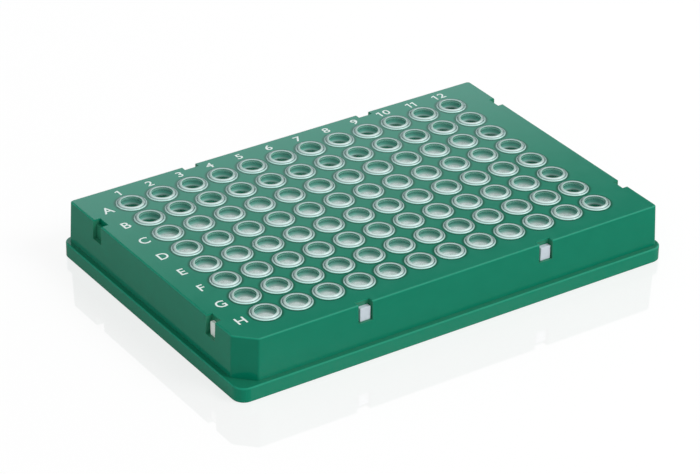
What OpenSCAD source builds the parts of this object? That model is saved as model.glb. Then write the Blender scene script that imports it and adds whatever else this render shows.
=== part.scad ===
// Skirted 96-well plate for thermal cyclers: a rigid coloured frame, and a clear moulding of thin-walled
// wells that grips the frame's deck. X runs along the numbered columns, row A is on the +Y side, and the
// origin is the middle of the footprint on the bench. Lengths are in millimetres.

/* [Base] */
// Length of the footprint, along the columns
base_length = 127.76; // [126:0.02:130]
// Width of the footprint, along the rows
base_width = 85.48; // [84:0.02:88]
// Corner radius of the footprint
base_corner_r = 3.18; // [1.6:0.01:6]
// Height of the flange round the foot
flange_h = 4; // [2.5:0.1:6]
// Width of the ledge between the flange's face and the foot of the upper wall
ledge_w = 1.5; // [1:0.05:2.5]
// Rounding of the flange's upper edge
flange_edge_r = 0.4; // [0.1:0.05:0.8]
// Rounding of the edge that stands on the bench
foot_edge_r = 0.15; // [0.05:0.05:0.4]

/* [Upper body] */
// Height of the deck's top face above the bench
deck_z = 15.4; // [13:0.1:20]
// Thickness of the deck
deck_t = 1.2; // [0.8:0.1:2]
// Thickness of the skirt
wall_t = 1.2; // [0.8:0.05:1.3]
// Draft of the skirt, in degrees
draft = 1.75; // [0.5:0.25:3]
// Radius of the three plain vertical corners
corner_r = 0.8; // [0.4:0.1:2]
// Leg of the 45 degree key chamfer at corner H1
key_cut = 4.8; // [3:0.1:7]
// Rounding of the deck's outer edge
deck_edge_r = 0.35; // [0.1:0.05:0.8]

/* [Well grid] */
// Number of columns
columns = 12; // [4:1:12]
// Number of rows
rows = 8; // [4:1:8]
// Distance between neighbouring wells
pitch = 9; // [8.4:0.05:9.2]

/* [Wells] */
// Inner radius of a well's straight mouth
mouth_r = 2.75; // [2.4:0.05:2.9]
// Depth of the straight mouth below the rim
mouth_depth = 3.5; // [3.1:0.1:6]
// Thickness of a well's wall
well_t = 0.3; // [0.2:0.02:0.4]
// Inner radius of the round tip
tip_r = 1.2; // [0.8:0.05:1.5]
// Gap between the wells' tips and the bench
tip_gap = 1; // [0.5:0.1:3]
// Radius of the neck that passes through the deck
neck_r = 3.3; // [3.3:0.02:3.5]
// Radius of the collar that lies on the deck
collar_r = 4; // [3.9:0.02:4.1]
// Height of the collar above the deck
collar_rise = 0.25; // [0.15:0.05:0.4]
// Height of the rim above the deck
rim_rise = 0.55; // [0.45:0.05:0.9]
// Width of the lead-in chamfer at the mouth
lead_in = 0.12; // [0.05:0.01:0.2]
// Width of the sloping edge between the rim's flat top and the neck's radius
rim_slope = 0.05; // [0.02:0.01:0.1]
// Distance of the ring groove from the middle between neck and collar, inwards
groove_shift = 0.2; // [0.1:0.01:0.22]
// Depth of the ring groove between rim and collar, below the collar
groove_depth = 0.12; // [0.05:0.01:0.14]

/* [Web] */
// Thickness of the web that joins the wells below the deck
web_t = 0.7; // [0.4:0.05:1]
// Width of the web's runners
runner_w = 2; // [1:0.1:3]

/* [Notches and plugs] */
// Width of a notch in the skirt
notch_w = 4.1; // [3.4:0.1:5]
// Depth of a notch behind the edge of the deck
notch_depth = 1.7; // [1.5:0.05:2]
// Height of a notch, from its floor to the deck's top face
notch_h = 5.2; // [4:0.1:7]
// Thickness of the frame behind a notch
notch_back_t = 1; // [0.6:0.1:1.4]
// Room beside a centred plug in its notch
plug_side_gap = 0.55; // [0.35:0.05:0.7]
// Distance of a plug from the middle of its notch, counter-clockwise round the plate
plug_shift = 0.25; // [0:0.05:0.3]
// Depth of a plug's face behind the edge of the deck, on the long sides
plug_recess = 0.4; // [0.1:0.05:0.7]
// Depth of a plug's face behind the edge of the deck, on the short sides
end_plug_recess = 0.65; // [0.3:0.05:0.9]
// Drop from the web's top to the top of a plug and its arm
plug_step = 0.33; // [0.15:0.01:0.35]
// Depth of the notch without a plug, above its filling
blind_depth = 2.1; // [1.7:0.05:2.4]
// Depth of the filling's face in the notch without a plug
blind_recess = 1; // [0.4:0.05:1.3]

/* [Fit] */
// Gap along the bond between the two mouldings
bond_gap = 0.02; // [0.01:0.01:0.05]

/* [Hidden] */
$fn = 48;

corner_steps = 8;                                    // facets in a quarter turn of a moulded corner
edge_steps = 3;                                      // facets in a rounded edge
tip_steps = 5;                                       // cones that make up a round tip
chamfer_turn = 45;                                   // the key chamfer's angle to the sides
through = 1;                                         // overlap of a cutter beyond the face it opens

foot_hx = base_length / 2 - ledge_w;                 // half size of the upper body where it meets the ledge
foot_hy = base_width / 2 - ledge_w;
deck_underside = deck_z - deck_t;
rim_z = deck_z + rim_rise;
collar_z = deck_z + collar_rise;
web_top = deck_underside - bond_gap;
web_bottom = web_top - web_t;

grid_x = [for (c = [0:columns - 1]) (c - (columns - 1) / 2) * pitch];
grid_y = [for (r = [0:rows - 1]) ((rows - 1) / 2 - r) * pitch];
grid = [for (x = grid_x, y = grid_y) [x, y]];

// Each notch is centred on the third gap from the middle of its side, between two wells of the outer row.
notch_offset = 3 * pitch;
notch_floor = deck_z - notch_h;
plug_w = notch_w - 2 * plug_side_gap;
plug_top = web_top - plug_step;

// A notch is [turn about Z, shift along its side, holds a plug]. The one between rows A and B on the left
// has no plug: the frame fills its lower part.
notches = [
    [0, -1, true], [0, 1, true],                     // front
    [90, -1, true], [90, 1, true],                   // right
    [180, -1, true], [180, 1, true],                 // back
    [270, -1, false], [270, 1, true]                 // left: A-B, then G-H
];
function is_end(turn) = turn % 180 != 0;
function recess(turn) = is_end(turn) ? end_plug_recess : plug_recess;

// Section of a well, from the collar round the outside to the tip and back up the inside. The cone leaves the
// round tip smoothly.
tip_z = tip_gap + well_t + tip_r;                    // centre of the round tip
cone_top = rim_z - mouth_depth;
cone_angle = atan2(mouth_r, cone_top - tip_z) - asin(tip_r / norm([mouth_r, cone_top - tip_z]));
outer_cone_top = cone_top - well_t * tan(cone_angle / 2);
rim_outer_r = neck_r - rim_slope;                    // edge of the flat on top of the rim
groove_r = (neck_r + collar_r) / 2 - groove_shift;   // middle of the ring groove

// Half size of the upper body at height z, with its draft.
function body_hx(z) = foot_hx - (z - flange_h) * tan(draft);
function body_hy(z) = foot_hy - (z - flange_h) * tan(draft);

// Distance from the centre to the deck's edge on the side that a notch's turn gives.
function deck_edge(turn) = is_end(turn) ? body_hx(deck_z) : body_hy(deck_z);

function arc(centre, r, from, to, steps) =
    [for (i = [0:steps]) let (a = from + (to - from) * i / steps) centre + r * [cos(a), sin(a)]];

// Rectangle with four equal round corners, counter-clockwise from above.
function rounded_outline(hx, hy, r) = concat(
    arc([hx - r, hy - r], r, 0, 90, corner_steps),
    arc([-hx + r, hy - r], r, 90, 180, corner_steps),
    arc([-hx + r, -hy + r], r, 180, 270, corner_steps),
    arc([hx - r, -hy + r], r, 270, 360, corner_steps)
);

// Rectangle with three round corners and a chamfer of leg cut at the fourth, whose ends are rounded too.
function keyed_outline(hx, hy, r, cut) =
    let (t = r * tan(chamfer_turn / 2))
    concat(
        arc([hx - r, hy - r], r, 0, 90, corner_steps),
        arc([-hx + r, hy - r], r, 90, 180, corner_steps),
        arc([-hx + r, -hy + cut + t], r, 180, 225, corner_steps / 2),
        arc([-hx + cut + t, -hy + r], r, 225, 270, corner_steps / 2),
        arc([hx - r, -hy + r], r, 270, 360, corner_steps)
    );

// A chamfer's leg after its outline has moved in by inset.
function inset_cut(cut, inset) = cut - inset * (2 - sqrt(2));

// Outline of the upper body at height z, moved in by inset.
function body_outline(z, inset, r) =
    keyed_outline(body_hx(z) - inset, body_hy(z) - inset, r, inset_cut(key_cut, inset));

// Solid through a stack of outlines with equally many points: levels holds [z, outline] from bottom to top.
module loft(levels) {
    n = len(levels[0][1]);
    last = len(levels) - 1;
    points = [for (level = levels, p = level[1]) [p.x, p.y, level[0]]];
    sides = [for (k = [0:last - 1], i = [0:n - 1])
        let (a = k * n + i, b = k * n + (i + 1) % n)
        each [[a, a + n, b + n], [a, b + n, b]]];
    floor_cap = [[for (i = [0:n - 1]) i]];
    roof_cap = [[for (i = [n - 1:-1:0]) last * n + i]];
    polyhedron(points = points, faces = concat(sides, floor_cap, roof_cap), convexity = 4);
}

// Upper body: drafted sides, key chamfer and a rounded edge round the deck.
module upper_body() {
    rounding = [for (i = [0:edge_steps])
        let (a = 90 * i / edge_steps, z = deck_z - deck_edge_r * (1 - sin(a)))
        [z, body_outline(z, deck_edge_r * (1 - cos(a)), corner_r)]];
    bottom = flange_h / 2;
    loft(concat([[bottom, body_outline(bottom, 0, corner_r)]], rounding));
}

// Flange round the foot, with its upper edge rounded and the edge on the bench broken.
module flange() {
    hx = base_length / 2;
    hy = base_width / 2;
    function step(inset) = rounded_outline(hx - inset, hy - inset, base_corner_r - inset);
    rounding = [for (i = [0:edge_steps])
        let (a = 90 * i / edge_steps)
        [flange_h - flange_edge_r * (1 - sin(a)), step(flange_edge_r * (1 - cos(a)))]];
    loft(concat([[0, step(foot_edge_r)], [foot_edge_r, step(0)]], rounding));
}

// Space under the deck: the skirt's inner face follows the outer one, and steps out inside the flange.
module underside() {
    inner_r = corner_r / 2;
    loft([for (z = [flange_h - wall_t - through, deck_underside]) [z, body_outline(z, wall_t, inner_r)]]);
    hx = base_length / 2 - wall_t;
    hy = base_width / 2 - wall_t;
    loft([for (z = [-through, flange_h - wall_t]) [z, rounded_outline(hx, hy, base_corner_r - wall_t)]]);
}

// Puts its children at a notch, with -Y pointing out of the skirt and the deck's edge on the X axis.
module at_notch(notch) {
    rotate([0, 0, notch[0]])
        translate([notch[1] * notch_offset, -deck_edge(notch[0]), 0])
            children();
}

// Wall behind and beside a notch of the given depth, down to the ledge.
module notch_backing(depth) {
    z = flange_h - wall_t;
    translate([-notch_w / 2 - notch_back_t, wall_t / 2, z])
        cube([notch_w + 2 * notch_back_t, depth + notch_back_t - wall_t / 2, deck_underside + deck_t / 2 - z]);
}

// Cutter of a notch's width, from height z upwards, to the given depth.
module notch_cut(depth, z) {
    reach = ledge_w + through;
    translate([-notch_w / 2, -reach, z])
        cube([notch_w, depth + reach, deck_z + through - z]);
}

// Window in the wall behind a notch, for the arm that reaches the plug.
module arm_window() {
    translate([plug_shift - plug_w / 2 - bond_gap, notch_depth - through / 2, web_bottom - bond_gap])
        cube([plug_w + 2 * bond_gap, notch_back_t + through, plug_top - web_bottom + 2 * bond_gap]);
}

module frame() {
    color("seagreen")
        difference() {
            union() {
                difference() {
                    union() {
                        upper_body();
                        flange();
                    }
                    underside();
                }
                for (notch = notches) at_notch(notch) notch_backing(notch[2] ? notch_depth : blind_depth);
            }
            for (notch = notches)
                at_notch(notch)
                    if (notch[2]) {
                        notch_cut(notch_depth, notch_floor);
                        arm_window();
                    } else {
                        notch_cut(blind_depth, plug_top);
                        notch_cut(blind_recess, notch_floor);
                    }
            for (p = grid)
                translate([p.x, p.y, deck_underside - through])
                    cylinder(r = neck_r + bond_gap, h = deck_t + 2 * through);
        }
}

function tip_arc(r) = arc([0, tip_z], r, -90, -cone_angle, tip_steps);

// Section of a well, from the mouth down the bore to the tip, and back up the outside to the rim.
well_section = concat(
    [
        [mouth_r + lead_in, rim_z],
        [mouth_r, rim_z - lead_in],
        [mouth_r, cone_top]
    ],
    [for (i = [tip_steps:-1:0]) tip_arc(tip_r)[i]],
    tip_arc(tip_r + well_t),
    [
        [mouth_r + well_t, outer_cone_top],
        [mouth_r + well_t, web_bottom],
        [neck_r, web_bottom],
        [neck_r, deck_z + bond_gap],
        [collar_r, deck_z + bond_gap],
        [collar_r, collar_z - lead_in],
        [collar_r - lead_in, collar_z],
        [groove_r + lead_in, collar_z],
        [groove_r, collar_z - groove_depth],
        [rim_outer_r, rim_z]
    ]
);

// Runners between neighbouring wells, and out to the plugs, with a hole inside each well's wall.
module web() {
    mid_wall_r = mouth_r + well_t / 2;
    translate([0, 0, web_bottom])
        difference() {
            union() {
                for (y = grid_y)
                    translate([grid_x[0], y - runner_w / 2, 0])
                        cube([(columns - 1) * pitch, runner_w, web_t]);
                for (x = grid_x)
                    translate([x - runner_w / 2, grid_y[rows - 1], 0])
                        cube([runner_w, (rows - 1) * pitch, web_t]);
            }
            for (p = grid)
                translate([p.x, p.y, -through])
                    cylinder(r = mid_wall_r, h = web_t + 2 * through);
        }
}

// Arm from the outer runner to a notch, and the plug that fills the notch's foot.
module plug(notch) {
    turn = notch[0];
    left = plug_shift - plug_w / 2;
    outer_runner = is_end(turn) ? grid_x[columns - 1] : grid_y[0];
    back = notch_depth - bond_gap;
    at_notch(notch) {
        translate([left, notch_depth / 2, web_bottom])
            cube([plug_w, deck_edge(turn) - outer_runner - notch_depth / 2, plug_top - web_bottom]);
        translate([left, recess(turn), notch_floor + bond_gap])
            cube([plug_w, back - recess(turn), plug_top - notch_floor - bond_gap]);
    }
}

module wells() {
    color("gainsboro")
        union() {
            web();
            for (notch = notches) if (notch[2]) plug(notch);
            for (p = grid) translate([p.x, p.y, 0]) rotate_extrude() polygon(well_section);
        }
}

frame();
wells();
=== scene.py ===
"""Skirted plate of thermal cycler wells: a green moulded frame, and a clear moulding of wells that grips it.

Lengths are in metres. X runs along the numbered columns, row A is on the +Y side, and the origin is the
middle of the footprint on the bench.
"""

import math

import bmesh
import bpy
import numpy as np
from mathutils import Matrix, Vector


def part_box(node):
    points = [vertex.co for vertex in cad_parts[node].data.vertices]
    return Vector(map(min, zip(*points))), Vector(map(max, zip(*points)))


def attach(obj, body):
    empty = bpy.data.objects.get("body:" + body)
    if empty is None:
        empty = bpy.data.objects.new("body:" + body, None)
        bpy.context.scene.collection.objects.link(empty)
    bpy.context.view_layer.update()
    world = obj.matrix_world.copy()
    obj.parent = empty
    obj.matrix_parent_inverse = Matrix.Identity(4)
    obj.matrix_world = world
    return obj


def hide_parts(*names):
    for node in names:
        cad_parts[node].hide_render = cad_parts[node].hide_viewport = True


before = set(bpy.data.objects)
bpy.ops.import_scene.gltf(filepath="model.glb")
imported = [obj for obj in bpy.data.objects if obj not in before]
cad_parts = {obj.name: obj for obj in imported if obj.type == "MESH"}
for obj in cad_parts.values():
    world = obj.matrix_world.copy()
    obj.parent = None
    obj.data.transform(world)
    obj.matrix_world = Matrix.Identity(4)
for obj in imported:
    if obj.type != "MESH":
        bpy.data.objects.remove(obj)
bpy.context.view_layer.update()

MM = 0.001

# Places that the moulded solids give.
wells_low, wells_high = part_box("wells")
DECK_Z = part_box("frame")[1].z
RIM_Z = wells_high.z
TIP_Z = wells_low.z
PLUG_REACH = wells_high.x                    # how far the plugs' faces stand from the middle, along X

# The frame's flange, and how far the rounds of its edge and of the deck's edge reach down.
FLANGE_H = 4 * MM
FLANGE_ROUND = 0.4 * MM
DECK_ROUND = 0.36 * MM
LEVEL = 0.02 * MM                            # a height this near to a face counts as on it

# The grid of wells.
PITCH = 9 * MM
COLUMNS, ROWS = 12, 8
GRID_X = (np.arange(COLUMNS) - (COLUMNS - 1) / 2) * PITCH
GRID_Y = ((ROWS - 1) / 2 - np.arange(ROWS)) * PITCH

# The clear moulding.
BOND_GAP = 0.02 * MM
MOUTH_R = 2.75 * MM
MOUTH_DEPTH = 3.5 * MM
WELL_WALL = 0.3 * MM
TIP_R = 1.2 * MM
NECK_R = 3.3 * MM
COLLAR_R = 4.0 * MM
COLLAR_RISE = 0.25 * MM
GROOVE_R = 3.45 * MM
GROOVE_DEPTH = 0.12 * MM
SPLIT_Z = DECK_Z - 0.3 * MM                  # where the rims' piece meets the cones' piece
WEB_TOP = DECK_Z - 1.22 * MM
WEB_T = 0.7 * MM
RUNNER_W = 2 * MM
CONE_STEPS, RIM_STEPS = 28, 36               # sides of the round forms
SMOOTH_UNDER = 35                            # degrees; edges sharper than this stay sharp

# The notches in the skirt: turn about Z, distance along the side, and the distance of the deck's edge from
# the middle. The first, between rows A and B on the left, has no plug.
NOTCH_ALONG = 3 * PITCH
END_EDGE, SIDE_EDGE = 62.03 * MM, 40.89 * MM
NOTCHES = [
    (turn, along, edge)
    for turn, edge in ((-90, END_EDGE), (90, END_EDGE), (0, SIDE_EDGE), (180, SIDE_EDGE))
    for along in (-NOTCH_ALONG, NOTCH_ALONG)
]
NOTCH_FLOOR = DECK_Z - 5.2 * MM
NOTCH_W, NOTCH_DEPTH = 4.1 * MM, 1.7 * MM
PLUG_LOW_X, PLUG_HIGH_X = -1.25 * MM, 1.75 * MM   # a plug's sides, from the middle of its notch
PLUG_FRONT, PLUG_BACK = 0.4 * MM, 1.68 * MM       # how far its faces stand behind the deck's edge
PLUG_TOP = WEB_TOP - 0.33 * MM
PLUG_BEVEL = 0.12 * MM

# Lettering.
CAP_HEIGHT = 3.05 * MM
FONT_CAP_SHARE = 0.73                        # height of a capital as a share of the font's size
NUMERAL_HEIGHT = 0.82                        # as a share of the capitals' height
STROKE_GAIN = 0.055 * MM                     # how much each stroke grows on both sides
INK_Z = DECK_Z + 0.02 * MM
LETTER_LEFT, LETTER_DOWN = 7.0 * MM, 0.3 * MM
NUMERAL_UP = 6.2 * MM
TENS_LEFT, TENS_LEFT_OF_1, UNITS_RIGHT = 0.75 * MM, 0.35 * MM, 1.28 * MM


# ---------------------------------------------------------------- shapes

def make_mesh(name, vertices, faces, smooth_under=None):
    """Object at the origin from an array of vertices and a list of face arrays, each of one width. With
    smooth_under it is shaded smooth, but for edges that are sharper than so many degrees."""
    counts = np.concatenate([np.full(len(f), f.shape[1]) for f in faces])
    corners = np.concatenate([f.ravel() for f in faces])
    mesh = bpy.data.meshes.new(name)
    mesh.vertices.add(len(vertices))
    mesh.vertices.foreach_set("co", np.ascontiguousarray(vertices, np.float32).ravel())
    mesh.loops.add(len(corners))
    mesh.loops.foreach_set("vertex_index", corners.astype(np.int32))
    mesh.polygons.add(len(counts))
    starts = np.concatenate([[0], np.cumsum(counts)[:-1]])
    mesh.polygons.foreach_set("loop_start", starts.astype(np.int32))
    mesh.polygons.foreach_set("use_smooth", np.full(len(counts), smooth_under is not None))
    mesh.update(calc_edges=True)
    if smooth_under is not None:
        mesh.set_sharp_from_angle(angle=math.radians(smooth_under))
    mesh.validate()
    piece = bpy.data.objects.new(name, mesh)
    bpy.context.scene.collection.objects.link(piece)
    return piece


def softened(corners, cuts):
    """Outline with each inner corner replaced by a quadratic curve that starts and ends its cut away from it,
    or nearer on a short side: (1-t)^2 A + 2 t (1-t) corner + t^2 B, where A and B lie on the two sides."""
    steps = 2
    most = 0.45                              # share of a side that one curve may take
    before = corners[:-2] - corners[1:-1]
    after = corners[2:] - corners[1:-1]
    length_before = np.linalg.norm(before, axis=1, keepdims=True)
    length_after = np.linalg.norm(after, axis=1, keepdims=True)
    a = corners[1:-1] + before / length_before * np.minimum(cuts[:, None], most * length_before)
    b = corners[1:-1] + after / length_after * np.minimum(cuts[:, None], most * length_after)
    t = np.linspace(0, 1, steps + 1)[None, :, None]
    curve = (1 - t) ** 2 * a[:, None] + 2 * t * (1 - t) * corners[1:-1, None] + t ** 2 * b[:, None]
    return np.concatenate([corners[:1], curve.reshape(-1, 2), corners[-1:]])


def turned_copies(profile, centres, steps, closed):
    """A profile of (radius, height) turned round the Z axis, once at each centre: vertex (i, j) is
    (r_i cos a_j, r_i sin a_j, z_i). A closed profile makes a ring. Otherwise its two ends lie on the axis,
    and each closes in a fan of triangles."""
    ring = profile if closed else profile[1:-1]
    angle = np.arange(steps) * 2 * math.pi / steps
    one = np.stack([
        ring[:, :1] * np.cos(angle),
        ring[:, :1] * np.sin(angle),
        np.repeat(ring[:, 1:], steps, axis=1),
    ], axis=-1).reshape(-1, 3)
    i, j = np.meshgrid(np.arange(len(ring) - (not closed)), np.arange(steps), indexing="ij")
    k = (j + 1) % steps
    above = (i + 1) % len(ring)
    quads = np.stack([i * steps + j, i * steps + k, above * steps + k, above * steps + j], -1)
    faces = [quads.reshape(-1, 4)]
    if not closed:
        poles = np.array([[0, 0, profile[0, 1]], [0, 0, profile[-1, 1]]])
        j = np.arange(steps)
        k = (j + 1) % steps
        last = (len(ring) - 1) * steps
        faces.append(np.concatenate([
            np.stack([np.full(steps, len(one)), k, j], -1),
            np.stack([last + j, last + k, np.full(steps, len(one) + 1)], -1),
        ]))
        one = np.concatenate([one, poles])
    shift = (np.arange(len(centres)) * len(one))[:, None, None]
    vertices = (one[None] + centres[:, None]).reshape(-1, 3)
    return vertices, [(part[None] + shift).reshape(-1, part.shape[1]) for part in faces]


def cone_profile():
    """Half section of one well under the deck, from the tip's outside, up the cone and the neck, and down the
    bore to the tip's inside. The tip is the arc (r cos a, r sin a) about its centre, and the cone leaves it
    smoothly, at the angle atan(mouth radius / height) - asin(tip radius / distance)."""
    arc_points = 6
    centre_z = TIP_Z + WELL_WALL + TIP_R
    cone_top = RIM_Z - MOUTH_DEPTH
    reach = cone_top - centre_z
    slope = math.atan2(MOUTH_R, reach) - math.asin(TIP_R / math.hypot(MOUTH_R, reach))
    down = np.linspace(-math.pi / 2, -slope, arc_points)
    arc = np.stack([np.cos(down), np.sin(down)], -1)
    outer_tip = arc * (TIP_R + WELL_WALL) + [0, centre_z]
    inner_tip = (arc * TIP_R + [0, centre_z])[::-1]
    outside = np.array([
        [MOUTH_R + WELL_WALL, cone_top - WELL_WALL * math.tan(slope / 2)],
        [MOUTH_R + WELL_WALL, WEB_TOP - WEB_T],
        [NECK_R, WEB_TOP - WEB_T],
        [NECK_R, SPLIT_Z - BOND_GAP],
        [MOUTH_R, SPLIT_Z - BOND_GAP],
        [MOUTH_R, cone_top],
    ])
    corners = np.concatenate([outer_tip[-2:], outside, inner_tip[:2]])
    cuts = np.array([0.01, 0.3, 0.1, 0.15, 0.01, 0.01, 0.4, 0.01]) * MM
    return np.concatenate([outer_tip[:-2], softened(corners, cuts), inner_tip[2:]])


def rim_profile():
    """Closed half section of one well's rim: up the neck, out under the collar and round its edge, in over
    its top, down into the groove, up the rim's side, over its round top, and down the bore. Both tops fall a
    little outwards."""
    collar_z = DECK_Z + COLLAR_RISE
    collar_foot = DECK_Z + 0.1 * MM          # top of the collar's upright edge
    collar_in, collar_fall = 0.15 * MM, 0.04 * MM
    groove_top, groove_floor = 0.14 * MM, 0.02 * MM
    rim_in, rim_fall = 0.1 * MM, 0.06 * MM
    corners = np.array([
        [MOUTH_R, SPLIT_Z],
        [NECK_R, SPLIT_Z],
        [NECK_R, DECK_Z + BOND_GAP],
        [COLLAR_R, DECK_Z + BOND_GAP],
        [COLLAR_R, collar_foot],
        [COLLAR_R - collar_in, collar_z - collar_fall],
        [GROOVE_R + groove_top, collar_z],
        [GROOVE_R + groove_floor, collar_z - GROOVE_DEPTH],
        [GROOVE_R - rim_in, RIM_Z - rim_fall],
        [MOUTH_R, RIM_Z],
        [MOUTH_R, SPLIT_Z],
    ])
    cuts = np.array([0.01, 0.05, 0.01, 0.1, 0.1, 0.05, 0.05, 0.3, 0.16]) * MM
    return softened(corners, cuts)[:-1]


def boxes(low, high):
    """Closed boxes from arrays of lowest and highest corners. Corner c of a box takes low or high along each
    axis by the bits of c."""
    bits = (np.arange(8)[:, None] >> np.arange(3)) & 1
    vertices = np.where(bits[None] == 1, high[:, None], low[:, None]).reshape(-1, 3)
    one = np.array([[0, 2, 3, 1], [4, 5, 7, 6], [0, 1, 5, 4], [2, 6, 7, 3], [0, 4, 6, 2], [1, 3, 7, 5]])
    faces = (one[None] + (np.arange(len(low)) * 8)[:, None, None]).reshape(-1, 4)
    return vertices, [faces]


# ---------------------------------------------------------------- finishes

class Socket:
    """A node's output, so that shader maths reads as plain Python: each operator adds a Math node."""

    def __init__(self, finish, output):
        self.finish = finish
        self.output = output

    def __add__(self, other):
        return self.finish.maths("ADD", self, other)

    __radd__ = __add__

    def __sub__(self, other):
        return self.finish.maths("SUBTRACT", self, other)

    def __rsub__(self, other):
        return self.finish.maths("SUBTRACT", other, self)

    def __mul__(self, other):
        return self.finish.maths("MULTIPLY", self, other)

    __rmul__ = __mul__

    def __truediv__(self, other):
        return self.finish.maths("DIVIDE", self, other)


class Finish:
    """A material, or the world, whose nodes are made one call at a time."""

    def __init__(self, owner):
        owner.use_nodes = True
        self.owner = owner
        self.tree = owner.node_tree
        self.tree.nodes.clear()

    def node(self, kind, settings=None, sockets=None, output=0):
        """Adds a node, sets its settings and then its sockets' values or links, and gives back an output."""
        made = self.tree.nodes.new(kind)
        for name, value in (settings or {}).items():
            setattr(made, name, value)
        for key, value in (sockets or {}).items():
            if isinstance(value, Socket):
                self.tree.links.new(value.output, made.inputs[key])
            else:
                made.inputs[key].default_value = value
        return Socket(self, made.outputs[output]) if len(made.outputs) else None

    def surface(self, shader):
        """Links a shader to the output, and gives back the finished material or world."""
        kind = "World" if isinstance(self.owner, bpy.types.World) else "Material"
        self.node("ShaderNodeOutput" + kind, {}, {"Surface": shader})
        return self.owner

    def maths(self, operation, *values):
        """A Math node with one value or link for each of its inputs."""
        return self.node("ShaderNodeMath", {"operation": operation}, dict(enumerate(values)))

    def place(self):
        """Object coordinates."""
        return self.node("ShaderNodeTexCoord", output="Object")

    def component(self, vector, axis):
        """The part of a vector along X, Y or Z."""
        return self.node("ShaderNodeSeparateXYZ", {}, {"Vector": vector}, output=axis)

    def along(self, axis):
        """Object coordinate along X, Y or Z."""
        return self.component(self.place(), axis)

    def ray(self, kind):
        """1 for rays of one kind, such as "Camera" or "Glossy", and 0 for the others."""
        return self.node("ShaderNodeLightPath", output="Is %s Ray" % kind)

    def rise(self, value, low, high, start=0.0, end=1.0):
        """Smooth step from start at low to end at high, and flat beyond."""
        return self.node("ShaderNodeMapRange", {"interpolation_type": "SMOOTHSTEP"}, {
            "Value": value, "From Min": low, "From Max": high, "To Min": start, "To Max": end,
        })

    def band(self, value, low, high, soft):
        """1 between low and high, and 0 beyond, with smooth steps of width soft just inside both ends."""
        return self.rise(value, low, low + soft) - self.rise(value, high - soft, high)

    def within(self, axis, reach, middle=0.0):
        """1 where an object coordinate, counted without its sign, is less than reach from middle, and 0
        elsewhere."""
        away = self.maths("ABSOLUTE", self.along(axis))
        if middle:
            away = self.maths("ABSOLUTE", away - middle)
        return self.maths("LESS_THAN", away, reach)

    def in_notch(self):
        """1 inside the notches of the skirt, and 0 elsewhere."""
        half = NOTCH_W / 2 + 0.05 * MM
        depth = NOTCH_DEPTH + LEVEL
        at_ends = (1 - self.within("X", END_EDGE - depth)) * self.within("Y", half, NOTCH_ALONG)
        at_sides = (1 - self.within("Y", SIDE_EDGE - depth)) * self.within("X", half, NOTCH_ALONG)
        return (at_ends + at_sides) * self.rise(self.along("Z"), NOTCH_FLOOR - 0.1 * MM, NOTCH_FLOOR)

    def well_radius(self):
        """Distance from the axis of the nearest well: the root of x^2 + y^2, where x and y come from the
        fractions of X and Y in pitches."""
        x, y = (
            (self.maths("FRACT", self.along(axis) * (1 / PITCH)) - 0.5) * PITCH
            for axis in ("X", "Y")
        )
        return self.maths("SQRT", x * x + y * y)

    def noise(self, scale, detail):
        """Cloudy value between 0 and 1, with about scale clouds to the metre and detail finer layers."""
        return self.node("ShaderNodeTexNoise", {}, {"Vector": self.place(), "Scale": scale, "Detail": detail})

    def blend(self, factor, first, second):
        """Colour between two colours. Of the Mix node's sockets, 6 and 7 are its colours and 2 its result."""
        return self.node("ShaderNodeMix", {"data_type": "RGBA"}, {0: factor, 6: first, 7: second}, output=2)


def new_finish(name):
    """Empty material to build a finish in."""
    return Finish(bpy.data.materials.new(name))


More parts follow.
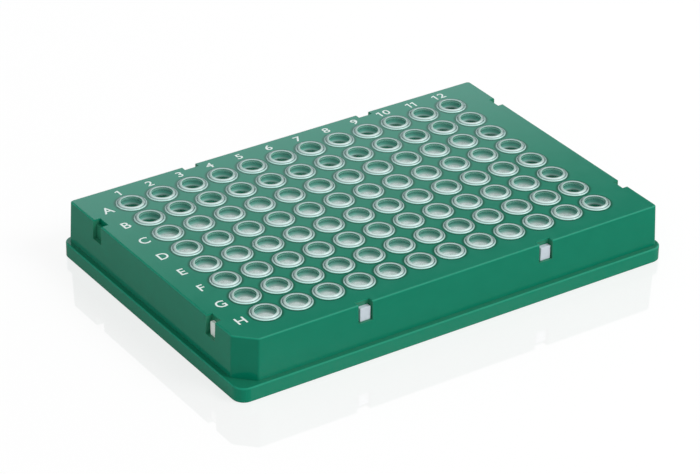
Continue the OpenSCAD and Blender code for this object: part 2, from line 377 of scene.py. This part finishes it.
def green_polycarbonate():
    """Satin green plastic with a slight mottle in its colour and a fine moulded grain. Painted shadow darkens
    the deck round each collar, painted shade darkens the ledge, and painted light brightens the flange a
    little and lifts and greys the shade in the notches. The rounds of the deck's and the flange's edges carry
    a painted highlight in a brighter green, and are rougher."""
    deep, pale = (0.001, 0.212, 0.122, 1), (0.003, 0.239, 0.140, 1)
    # Painted shadow for the deck round each collar, and painted light that brightens the flange.
    collar_painted_shadow, flange = (0.000, 0.118, 0.064, 1), (0.001, 0.242, 0.139, 1)
    # Painted shade for the ledge, painted light for the notches' shade, and a painted highlight for the
    # rounds of the edges.
    ledge, notch, edge = (0.010, 0.200, 0.115, 1), (0.030, 0.240, 0.140, 1), (0.002, 0.290, 0.170, 1)
    f = new_finish("green_polycarbonate")
    height = f.along("Z")
    mottle = f.noise(240, 4)
    colour = f.blend(mottle, deep, pale)
    on_deck = (
        f.rise(height, DECK_Z - 0.1 * MM, DECK_Z - LEVEL)
        * f.within("X", COLUMNS / 2 * PITCH)
        * f.within("Y", ROWS / 2 * PITCH)
    )
    # Painted shadow on the deck round each collar, where the collars shade it.
    collar_shadow_mask = f.rise(f.well_radius(), COLLAR_R + 0.2 * MM, COLLAR_R + 0.85 * MM, 1.0, 0.0)
    colour = f.blend(on_deck * collar_shadow_mask, colour, collar_painted_shadow)
    # Painted light, which brightens the flange a little.
    flange_light_mask = f.rise(height, FLANGE_H - FLANGE_ROUND, FLANGE_H - 0.3 * MM, 1.0, 0.0)
    colour = f.blend(flange_light_mask, colour, flange)
    # Painted shade on the ledge at the wall's foot.
    ledge_shade_mask = f.band(height, FLANGE_H - LEVEL, FLANGE_H + 0.1 * MM, 0.01 * MM)
    colour = f.blend(ledge_shade_mask, colour, ledge)
    # Painted light in the notches, which lifts and greys their shade.
    colour = f.blend(f.in_notch(), colour, notch)
    # Painted highlight on the rounds of the deck's and the flange's edges, which are also rougher.
    soft = 0.05 * MM
    on_round = (
        f.band(height, FLANGE_H - FLANGE_ROUND, FLANGE_H - LEVEL, soft)
        + f.band(height, DECK_Z - DECK_ROUND, DECK_Z - LEVEL, soft)
    )
    colour = f.blend(on_round, colour, edge)
    grain = f.noise(2600, 2)
    bump = f.node("ShaderNodeBump", {}, {"Strength": 0.04, "Distance": 0.02 * MM, "Height": grain})
    return f.surface(f.node("ShaderNodeBsdfPrincipled", {}, {
        "Base Color": colour, "Roughness": mottle * 0.04 + 0.09 + 0.4 * on_round,
        "Specular IOR Level": 0.22, "Normal": bump,
    }))


def see_through(f, cover, colour, mirrored, roughness):
    """Clear plastic of which the share cover is milky. Only the faces by which the eye enters it count, so
    that a wall isn't counted twice. Each face mirrors the share mirrored of the light."""
    entered = 1 - f.node("ShaderNodeNewGeometry", output="Backfacing")
    milk = f.node("ShaderNodeBsdfPrincipled", {}, {
        "Base Color": colour, "Roughness": 0.3, "Specular IOR Level": 0.0, "Alpha": cover * entered,
    })
    shine = f.node("ShaderNodeBsdfGlossy", {}, {"Color": (1, 1, 1, 1), "Roughness": roughness})
    return f.surface(f.node("ShaderNodeMixShader", {}, {0: mirrored, 1: milk, 2: shine}))


def clear_polypropylene():
    """Clear natural plastic of the wells, slightly milky. The cones' thin walls are nearly invisible. It is
    milky at the height of the web. Just above it the necks carry painted shade in the deck's green, and
    higher up in the deck's hole painted green light of the deck. Over the deck the sides and rounds that face
    the eye look white, the bore's lip is a bright bead, and painted shade makes the groove grey."""
    # The necks' colours: milky at the web, painted shade in the deck's green just above it, and painted green
    # light of the deck in the deck's hole.
    under_web, over_web_painted_shade, in_hole_painted_green_light = (0.56, 0.80, 0.77, 1), (0.11, 0.42, 0.33, 1), (0.19, 0.56, 0.46, 1)
    rim_white, collar_white, lip_white = (0.76, 0.93, 0.89, 1), (0.64, 1.0, 0.92, 1), (0.68, 0.94, 0.88, 1)
    # Painted shade in the groove.
    groove_painted_shade = (0.26, 0.40, 0.38, 1)
    f = new_finish("clear_polypropylene")
    height = f.along("Z")
    radius = f.well_radius()
    above_deck = f.rise(height, DECK_Z - 0.06 * MM, DECK_Z)
    bore = 1 - f.rise(radius, MOUTH_R + 0.12 * MM, MOUTH_R + 0.25 * MM)
    bead = bore * f.rise(height, RIM_Z - 0.2 * MM, RIM_Z - 0.1 * MM)
    facing = f.node("ShaderNodeLayerWeight", {}, {"Blend": 0.5}, output="Facing")
    toward = 1 - f.rise(facing, 0.15, 0.7)
    outside = above_deck * (1 - bore) * (0.3 + 0.7 * toward)
    web_under = WEB_TOP - WEB_T
    above_web = f.rise(height, WEB_TOP + 0.35 * MM, WEB_TOP + 0.7 * MM)
    in_web = f.rise(height, web_under - 0.2 * MM, WEB_TOP - 0.2 * MM) - above_web
    in_deck = above_web - f.rise(height, DECK_Z, DECK_Z + 0.3 * MM)
    cover = 0.03 + 0.94 * outside + 0.65 * bead + 0.85 * in_web + 0.4 * bore * in_deck
    # Painted shade just above the web, then painted green light in the deck's hole.
    neck = f.blend(f.rise(height, web_under, WEB_TOP + 0.3 * MM), under_web, over_web_painted_shade)
    neck = f.blend(above_web, neck, in_hole_painted_green_light)
    rim = f.blend(f.rise(radius, GROOVE_R, COLLAR_R), rim_white, collar_white)
    rim = f.blend(bore, rim, lip_white)
    # Painted shade along the groove between collar and rim.
    from_groove = f.maths("ABSOLUTE", radius - (GROOVE_R + 0.1 * MM))
    groove = above_deck * (1 - f.rise(from_groove, 0.08 * MM, 0.2 * MM))
    colour = f.blend(groove, f.blend(above_deck, neck, rim), groove_painted_shade)
    return see_through(f, cover, colour, mirrored=0.02 + 0.035 * above_deck, roughness=0.22)


def web_polypropylene():
    """The same plastic in the flat web, where it is thick enough to look milky and a little cloudy."""
    f = new_finish("web_polypropylene")
    cloud = f.noise(500, 3)
    return see_through(f, cloud * 0.1 + 0.35, (0.82, 0.94, 0.94, 1), mirrored=0.04, roughness=0.2)


def milky_polypropylene():
    """The same plastic where it is thick, as in the plugs: opaque, cloudy and faintly blue. Painted light
    makes the plugs in the short sides whiter."""
    dull, light, end_painted_light = (0.62, 0.69, 0.76, 1), (0.70, 0.77, 0.84, 1), (0.92, 1.0, 0.95, 1)
    f = new_finish("milky_polypropylene")
    # Painted light on the plugs in the short sides.
    at_ends = 1 - f.within("X", END_EDGE - NOTCH_DEPTH)
    colour = f.blend(at_ends, f.blend(f.noise(900, 3), dull, light), end_painted_light)
    return f.surface(f.node("ShaderNodeBsdfPrincipled", {}, {
        "Base Color": colour, "Roughness": 0.3, "Specular IOR Level": 0.4,
    }))


def white_ink():
    """Matt white print with a fine speckle, through which a little of the green shows."""
    thin, thick = (0.80, 0.94, 0.90, 1), (0.90, 1.0, 0.97, 1)
    f = new_finish("white_ink")
    colour = f.blend(f.noise(4000, 2), thin, thick)
    return f.surface(f.node("ShaderNodeBsdfPrincipled", {}, {
        "Base Color": colour, "Roughness": 0.5, "Specular IOR Level": 0.2,
    }))


# ---------------------------------------------------------------- pieces

def dress(piece, finish):
    """Gives a piece its finish and its body."""
    piece.data.materials.clear()
    piece.data.materials.append(finish)
    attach(piece, "root")
    return piece


def wells(finish):
    """The wells' cones, which are given back, and their rims as a second piece that stands on the first."""
    x, y = np.meshgrid(GRID_X, GRID_Y, indexing="ij")
    centres = np.stack([x.ravel(), y.ravel(), np.zeros(x.size)], -1)
    vertices, faces = turned_copies(cone_profile(), centres, CONE_STEPS, closed=False)
    cones = dress(make_mesh("well_cones", vertices, faces, SMOOTH_UNDER), finish)
    vertices, faces = turned_copies(rim_profile(), centres, RIM_STEPS, closed=True)
    dress(make_mesh("well_rims", vertices, faces, SMOOTH_UNDER), finish)
    return cones


def web(finish):
    """Runners between neighbouring wells: a flat box at the middle of each pair, from wall to wall."""
    gap = PITCH / 2 - MOUTH_R - WELL_WALL
    across_x, across_y = np.meshgrid((GRID_X[1:] + GRID_X[:-1]) / 2, GRID_Y, indexing="ij")
    along_x, along_y = np.meshgrid(GRID_X, (GRID_Y[1:] + GRID_Y[:-1]) / 2, indexing="ij")
    middle = np.concatenate([
        np.stack([across_x.ravel(), across_y.ravel()], -1),
        np.stack([along_x.ravel(), along_y.ravel()], -1),
    ])
    half = np.concatenate([
        np.tile([gap, RUNNER_W / 2], (across_x.size, 1)),
        np.tile([RUNNER_W / 2, gap], (along_x.size, 1)),
    ])
    low = np.column_stack([middle - half, np.full(len(middle), WEB_TOP - WEB_T)])
    high = np.column_stack([middle + half, np.full(len(middle), WEB_TOP)])
    vertices, faces = boxes(low, high)
    dress(make_mesh("web_runners", vertices, faces), finish)


def plugs(finish):
    """A bevelled block in the foot of each notch but the first, and the arm that holds it. In a notch's own
    axes -Y points out of the skirt, and the plug stands behind the deck's edge. Each is then turned about Z:
    (x cos a - y sin a, x sin a + y cos a)."""
    turns = np.radians([turn for turn, _, _ in NOTCHES[1:]])
    along = np.array([shift for _, shift, _ in NOTCHES[1:]])
    edge = np.array([reach for _, _, reach in NOTCHES[1:]])
    front = np.where(edge == END_EDGE, edge - PLUG_REACH, PLUG_FRONT)
    runner = np.where(edge == END_EDGE, GRID_X[-1], GRID_Y[0])
    ones = np.ones(len(edge))
    low = np.column_stack([along + PLUG_LOW_X, front - edge, ones * (NOTCH_FLOOR + BOND_GAP)])
    high = np.column_stack([along + PLUG_HIGH_X, PLUG_BACK - edge, ones * PLUG_TOP])
    arm_low = np.column_stack([along + PLUG_LOW_X, PLUG_BACK - edge, ones * (WEB_TOP - WEB_T)])
    arm_high = np.column_stack([along + PLUG_HIGH_X, -runner, ones * PLUG_TOP])
    turn = np.repeat(turns, 8)               # one for each corner of each box
    for name, lower, upper in (("plugs", low, high), ("plug_arms", arm_low, arm_high)):
        vertices, faces = boxes(lower, upper)
        x, y, z = vertices.T
        placed = np.column_stack([
            x * np.cos(turn) - y * np.sin(turn),
            x * np.sin(turn) + y * np.cos(turn),
            z,
        ])
        piece = dress(make_mesh(name, placed, faces), finish)
        bevel = piece.modifiers.new("bevel", "BEVEL")
        bevel.width = PLUG_BEVEL
        bevel.segments = 2


def lettering(finish):
    """Row letters to the left of the wells and column numbers behind them, as thin as ink. Each 1 is drawn as
    a stroke with a flag, and the other signs come from the font."""
    half, top, flag = 0.24 * MM, 1.23 * MM, 0.9 * MM
    flagged = np.array([
        [-half, -top], [half, -top], [half, top], [-half / 2, top],
        [-flag, flag], [-flag, flag / 2], [-half, 3 * half],
    ])
    signs = [("ABCDEFGH"[row], GRID_X[0] - LETTER_LEFT, y - LETTER_DOWN, 1.0) for row, y in enumerate(GRID_Y)]
    for column, x in enumerate(GRID_X):
        number, y = str(column + 1), GRID_Y[0] + NUMERAL_UP
        if len(number) == 1:
            signs.append((number, x, y, NUMERAL_HEIGHT))
        else:
            tens_left = TENS_LEFT_OF_1 if number[1] == "1" else TENS_LEFT
            signs.append((number[0], x - tens_left, y, NUMERAL_HEIGHT))
            signs.append((number[1], x + UNITS_RIGHT, y, NUMERAL_HEIGHT))
    joined = bmesh.new()
    for sign, x, y, tall in signs:
        if sign == "1":
            corners = flagged + (x, y)
            joined.faces.new([joined.verts.new((*corner, INK_Z)) for corner in corners])
            continue
        curve = bpy.data.curves.new(sign, "FONT")
        curve.body = sign
        curve.size = CAP_HEIGHT / FONT_CAP_SHARE
        curve.align_x, curve.align_y = "CENTER", "CENTER"
        curve.resolution_u = 4
        curve.offset = STROKE_GAIN
        holder = bpy.data.objects.new(sign, curve)
        bpy.context.scene.collection.objects.link(holder)
        bpy.context.view_layer.update()
        mesh = bpy.data.meshes.new_from_object(holder.evaluated_get(bpy.context.evaluated_depsgraph_get()))
        bpy.data.objects.remove(holder)
        mesh.transform(Matrix.Translation((x, y, INK_Z)) @ Matrix.Diagonal((1, tall, 1, 1)))
        joined.from_mesh(mesh)
    letters = bpy.data.meshes.new("lettering")
    joined.to_mesh(letters)
    joined.free()
    piece = bpy.data.objects.new("lettering", letters)
    bpy.context.scene.collection.objects.link(piece)
    dress(piece, finish)


# ---------------------------------------------------------------- stage

def lamp(name, place, aim, size, power):
    """Flat rectangular lamp at a place, turned towards aim, with its power in watts."""
    light = bpy.data.lights.new(name, "AREA")
    light.shape = "RECTANGLE"
    light.size, light.size_y = size
    light.energy = power
    holder = bpy.data.objects.new(name, light)
    holder.location = place
    holder.rotation_euler = (Vector(aim) - Vector(place)).to_track_quat("-Z", "Y").to_euler()
    bpy.context.scene.collection.objects.link(holder)
    return holder


def studio_camera():
    """Long lens that looks down on the keyed corner. The roll turns it a little about its own axis."""
    azimuth, elevation, roll = math.radians(-34.210), math.radians(29.874), math.radians(0.841)
    place = Vector((-392.144, -570.878, 403.277)) * MM
    back = Vector((
        math.sin(azimuth) * math.cos(elevation),
        -math.cos(azimuth) * math.cos(elevation),
        math.sin(elevation),
    ))
    right = Vector((0, 0, 1)).cross(back).normalized()
    up = back.cross(right)
    turned_right = math.cos(roll) * right + math.sin(roll) * up
    turned_up = -math.sin(roll) * right + math.cos(roll) * up
    data = bpy.data.cameras.new("camera")
    data.lens = 161.325
    data.sensor_width = 36
    data.clip_start = 0.05
    camera = bpy.data.objects.new("camera", data)
    camera.matrix_world = Matrix((turned_right, turned_up, back)).transposed().to_4x4()
    camera.location = place
    bpy.context.scene.collection.objects.link(camera)
    bpy.context.scene.camera = camera


def lamps():
    """A large key lamp in front on the right, and a faint sheet of light inside the skirt, which isn't seen
    itself and comes up through the wells."""
    lamp("key", place=(0.9, -1.1, 1.3), aim=(0, 0, 0), size=(0.9, 0.9), power=18)
    inside = lamp("inside", place=(0, 0, 0.3 * MM), aim=(0, 0, 1), size=(0.118, 0.076), power=0.008)
    inside.visible_camera = inside.visible_glossy = inside.visible_transmission = False


def studio_world():
    """White to the camera and through clear plastic, a little brighter in a sharp polish, and an even fill on
    the plate. Satin surfaces mirror a long white card that runs along X and stands at about 0.5 to 0.65 in
    Z / |Y|. Under it they mirror a dimmer wall, and over it a dark gap and then a softbox overhead, all a
    little blue."""
    fill, polish = 0.52, 1.1
    wall, card, gap, softbox = 0.8, 2.8, 0.06, 1.8
    f = Finish(bpy.data.worlds.new("studio"))
    bpy.context.scene.world = f.owner
    sees = f.ray("Camera") + f.ray("Transmission")
    direction = f.node("ShaderNodeTexCoord", output="Generated")
    steepness = f.component(direction, "Z") / f.maths("ABSOLUTE", f.component(direction, "Y"))
    mirrored = (
        f.rise(steepness, 0.40, 0.55, wall, card)
        - f.rise(steepness, 0.60, 0.73, 0.0, card - gap)
        + f.rise(steepness, 1.0, 1.4, 0.0, softbox)
    )
    strength = f.ray("Glossy") * (mirrored - fill) + fill
    strength = f.ray("Singular") * (polish - strength) + strength
    strength = sees * (1 - strength) + strength
    satin = f.ray("Glossy") * (1 - f.ray("Singular"))
    colour = f.blend(satin, (1, 1, 1, 1), (0.83, 0.97, 1.05, 1))
    f.surface(f.node("ShaderNodeBackground", {}, {"Color": colour, "Strength": strength}))


def floor():
    """White gloss board, a flat square. The camera, mirrors and clear plastic see it mostly as its own white,
    dimmer in mirrors, with some of the plate's shadow. Under the plate the glow is weaker, so that the shadow
    is stronger, partly real shadow and partly painted shadow, and painted green light tints the white. A
    sharp polish adds a faint mirror image."""
    reach = 3.0
    vertices = np.array([[-reach, -reach, 0], [reach, -reach, 0], [reach, reach, 0], [-reach, reach, 0]])
    piece = make_mesh("floor", vertices, [np.array([[0, 1, 2, 3]])])
    f = new_finish("floor_white")
    glossy = f.ray("Glossy")
    sees = f.ray("Camera") + glossy + f.ray("Transmission")
    # Under the plate the glow's colour carries painted green light, as of light that comes through the plate.
    under_plate = f.within("X", END_EDGE) * f.within("Y", SIDE_EDGE)
    white = f.blend(under_plate, (1, 1, 1, 1), (1.0, 1.14, 1.12, 1))
    paint = f.node("ShaderNodeBsdfDiffuse", {}, {"Color": (0.86, 0.86, 0.86, 1)})
    glow = f.node("ShaderNodeEmission", {}, {"Color": white, "Strength": 1.06 - 0.8 * glossy})
    # Weaker glow under the plate: painted shadow on top of the real one.
    base = f.node("ShaderNodeMixShader", {}, {0: sees * (0.8 - 0.38 * under_plate), 1: paint, 2: glow})
    polish = f.node("ShaderNodeBsdfGlossy", {}, {"Color": (1, 1, 1, 1), "Roughness": 0.0})
    grazing = f.node("ShaderNodeFresnel", {}, {"IOR": 1.5}) * (1 - f.ray("Diffuse"))
    board = f.node("ShaderNodeMixShader", {}, {0: grazing, 1: base, 2: polish})
    piece.data.materials.append(f.surface(board))


studio_camera()
studio_world()
floor()
lamps()

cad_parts["frame"].data.materials[0] = green_polycarbonate()
cones = wells(clear_polypropylene())
web(web_polypropylene())
plugs(milky_polypropylene())
lettering(white_ink())
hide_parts("wells")

# Enough for the eye to pass through several wells that stand one behind another.
bpy.context.scene.cycles.transparent_max_bounces = 32
bpy.context.scene.view_settings.view_transform = "Standard"
